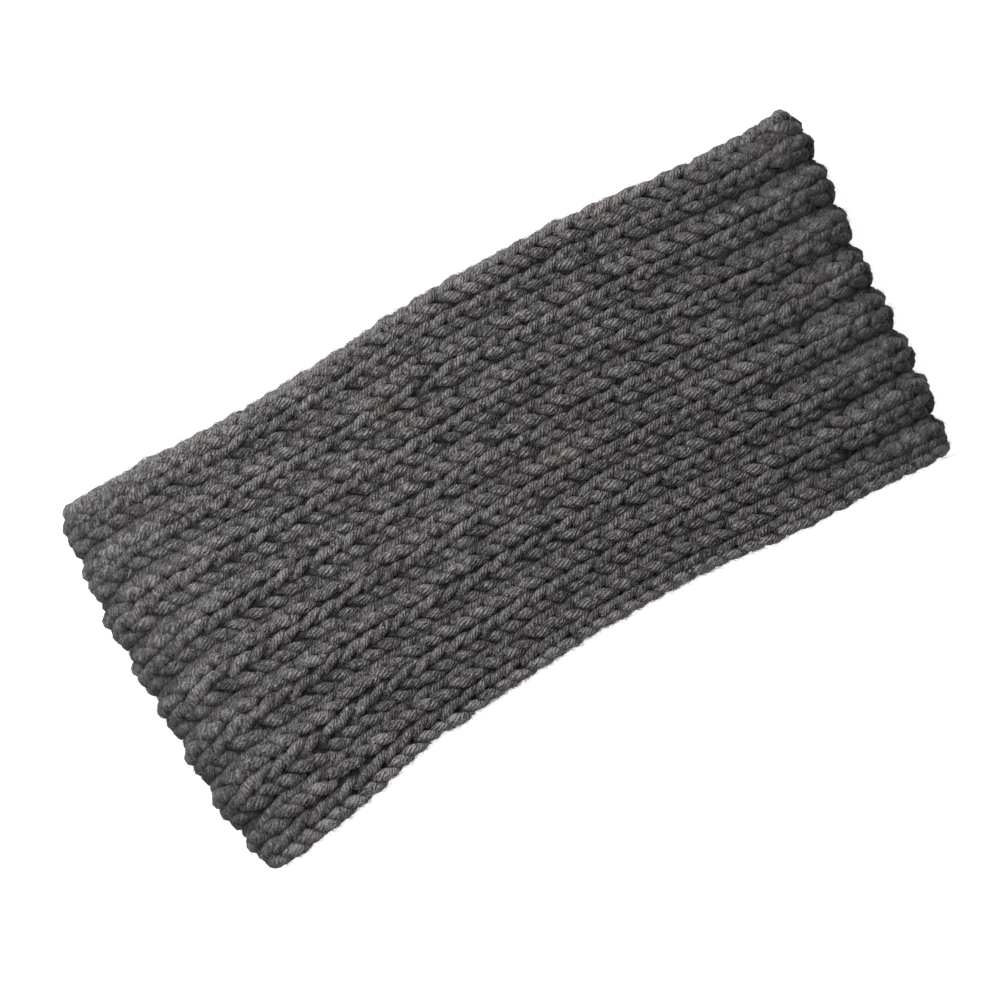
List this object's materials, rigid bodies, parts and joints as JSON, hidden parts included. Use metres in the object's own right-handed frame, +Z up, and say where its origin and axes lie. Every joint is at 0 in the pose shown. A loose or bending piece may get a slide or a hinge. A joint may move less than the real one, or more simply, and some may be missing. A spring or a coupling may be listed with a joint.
{
  "type": "ribbed knit headband",
  "caption": "Wide ribbed headband of thick dark grey yarn, one closed loop of soft fabric, laid flat and double on a surface.",
  "frame": {"origin": "the middle of the band's outline seen from above, at the surface that it lies on", "axes": "+X runs along the ribs, the band's longest way; +Y runs across the ribs; +Z is up from the surface"},
  "size_m": [0.2477, 0.123, 0.022],
  "materials": {
    "yarn": "matt dark grey melange wool-like yarn, plied, slightly fuzzy"
  },
  "bodies": {
    "root": {"band": "yarn"}
  },
  "joints": []
}
